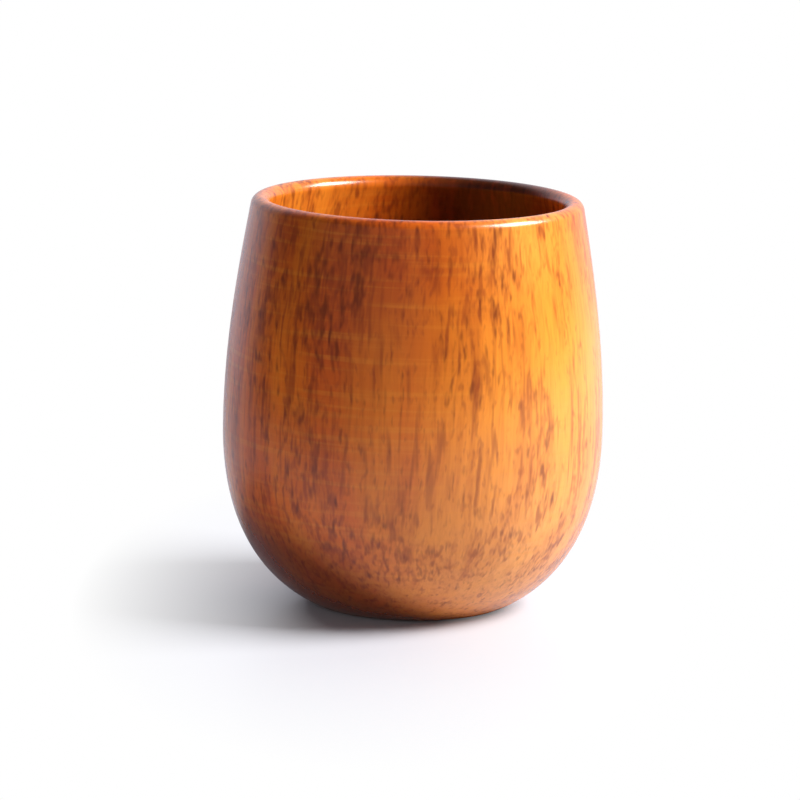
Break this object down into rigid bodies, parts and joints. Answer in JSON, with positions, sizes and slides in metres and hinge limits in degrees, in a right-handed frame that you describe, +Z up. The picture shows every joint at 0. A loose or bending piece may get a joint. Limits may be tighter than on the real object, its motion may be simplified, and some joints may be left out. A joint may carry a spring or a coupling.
{
  "type": "wooden tea cup",
  "caption": "Handleless round-bellied wooden tea cup, turned from one block, with a rounded lip, a deep hollow, a small standing ring and a clear lacquer finish.",
  "frame": {"origin": "centre of the standing ring, on the surface that the cup stands on", "axes": "+Z up along the cup's axis of revolution; X and Y are level and may be turned freely about Z"},
  "size_m": [0.0742, 0.0742, 0.0802],
  "materials": {
    "turned_wood": "turned and sanded open-pored hardwood, grain upright",
    "clear_lacquer": "clear gloss lacquer over orange-brown wood, given the tone of the wood that shows through it"
  },
  "bodies": {
    "root": {"wood_body": "turned_wood", "outer_lacquer": "clear_lacquer", "inner_lining": "clear_lacquer", "foot_seal": "clear_lacquer"}
  },
  "joints": []
}
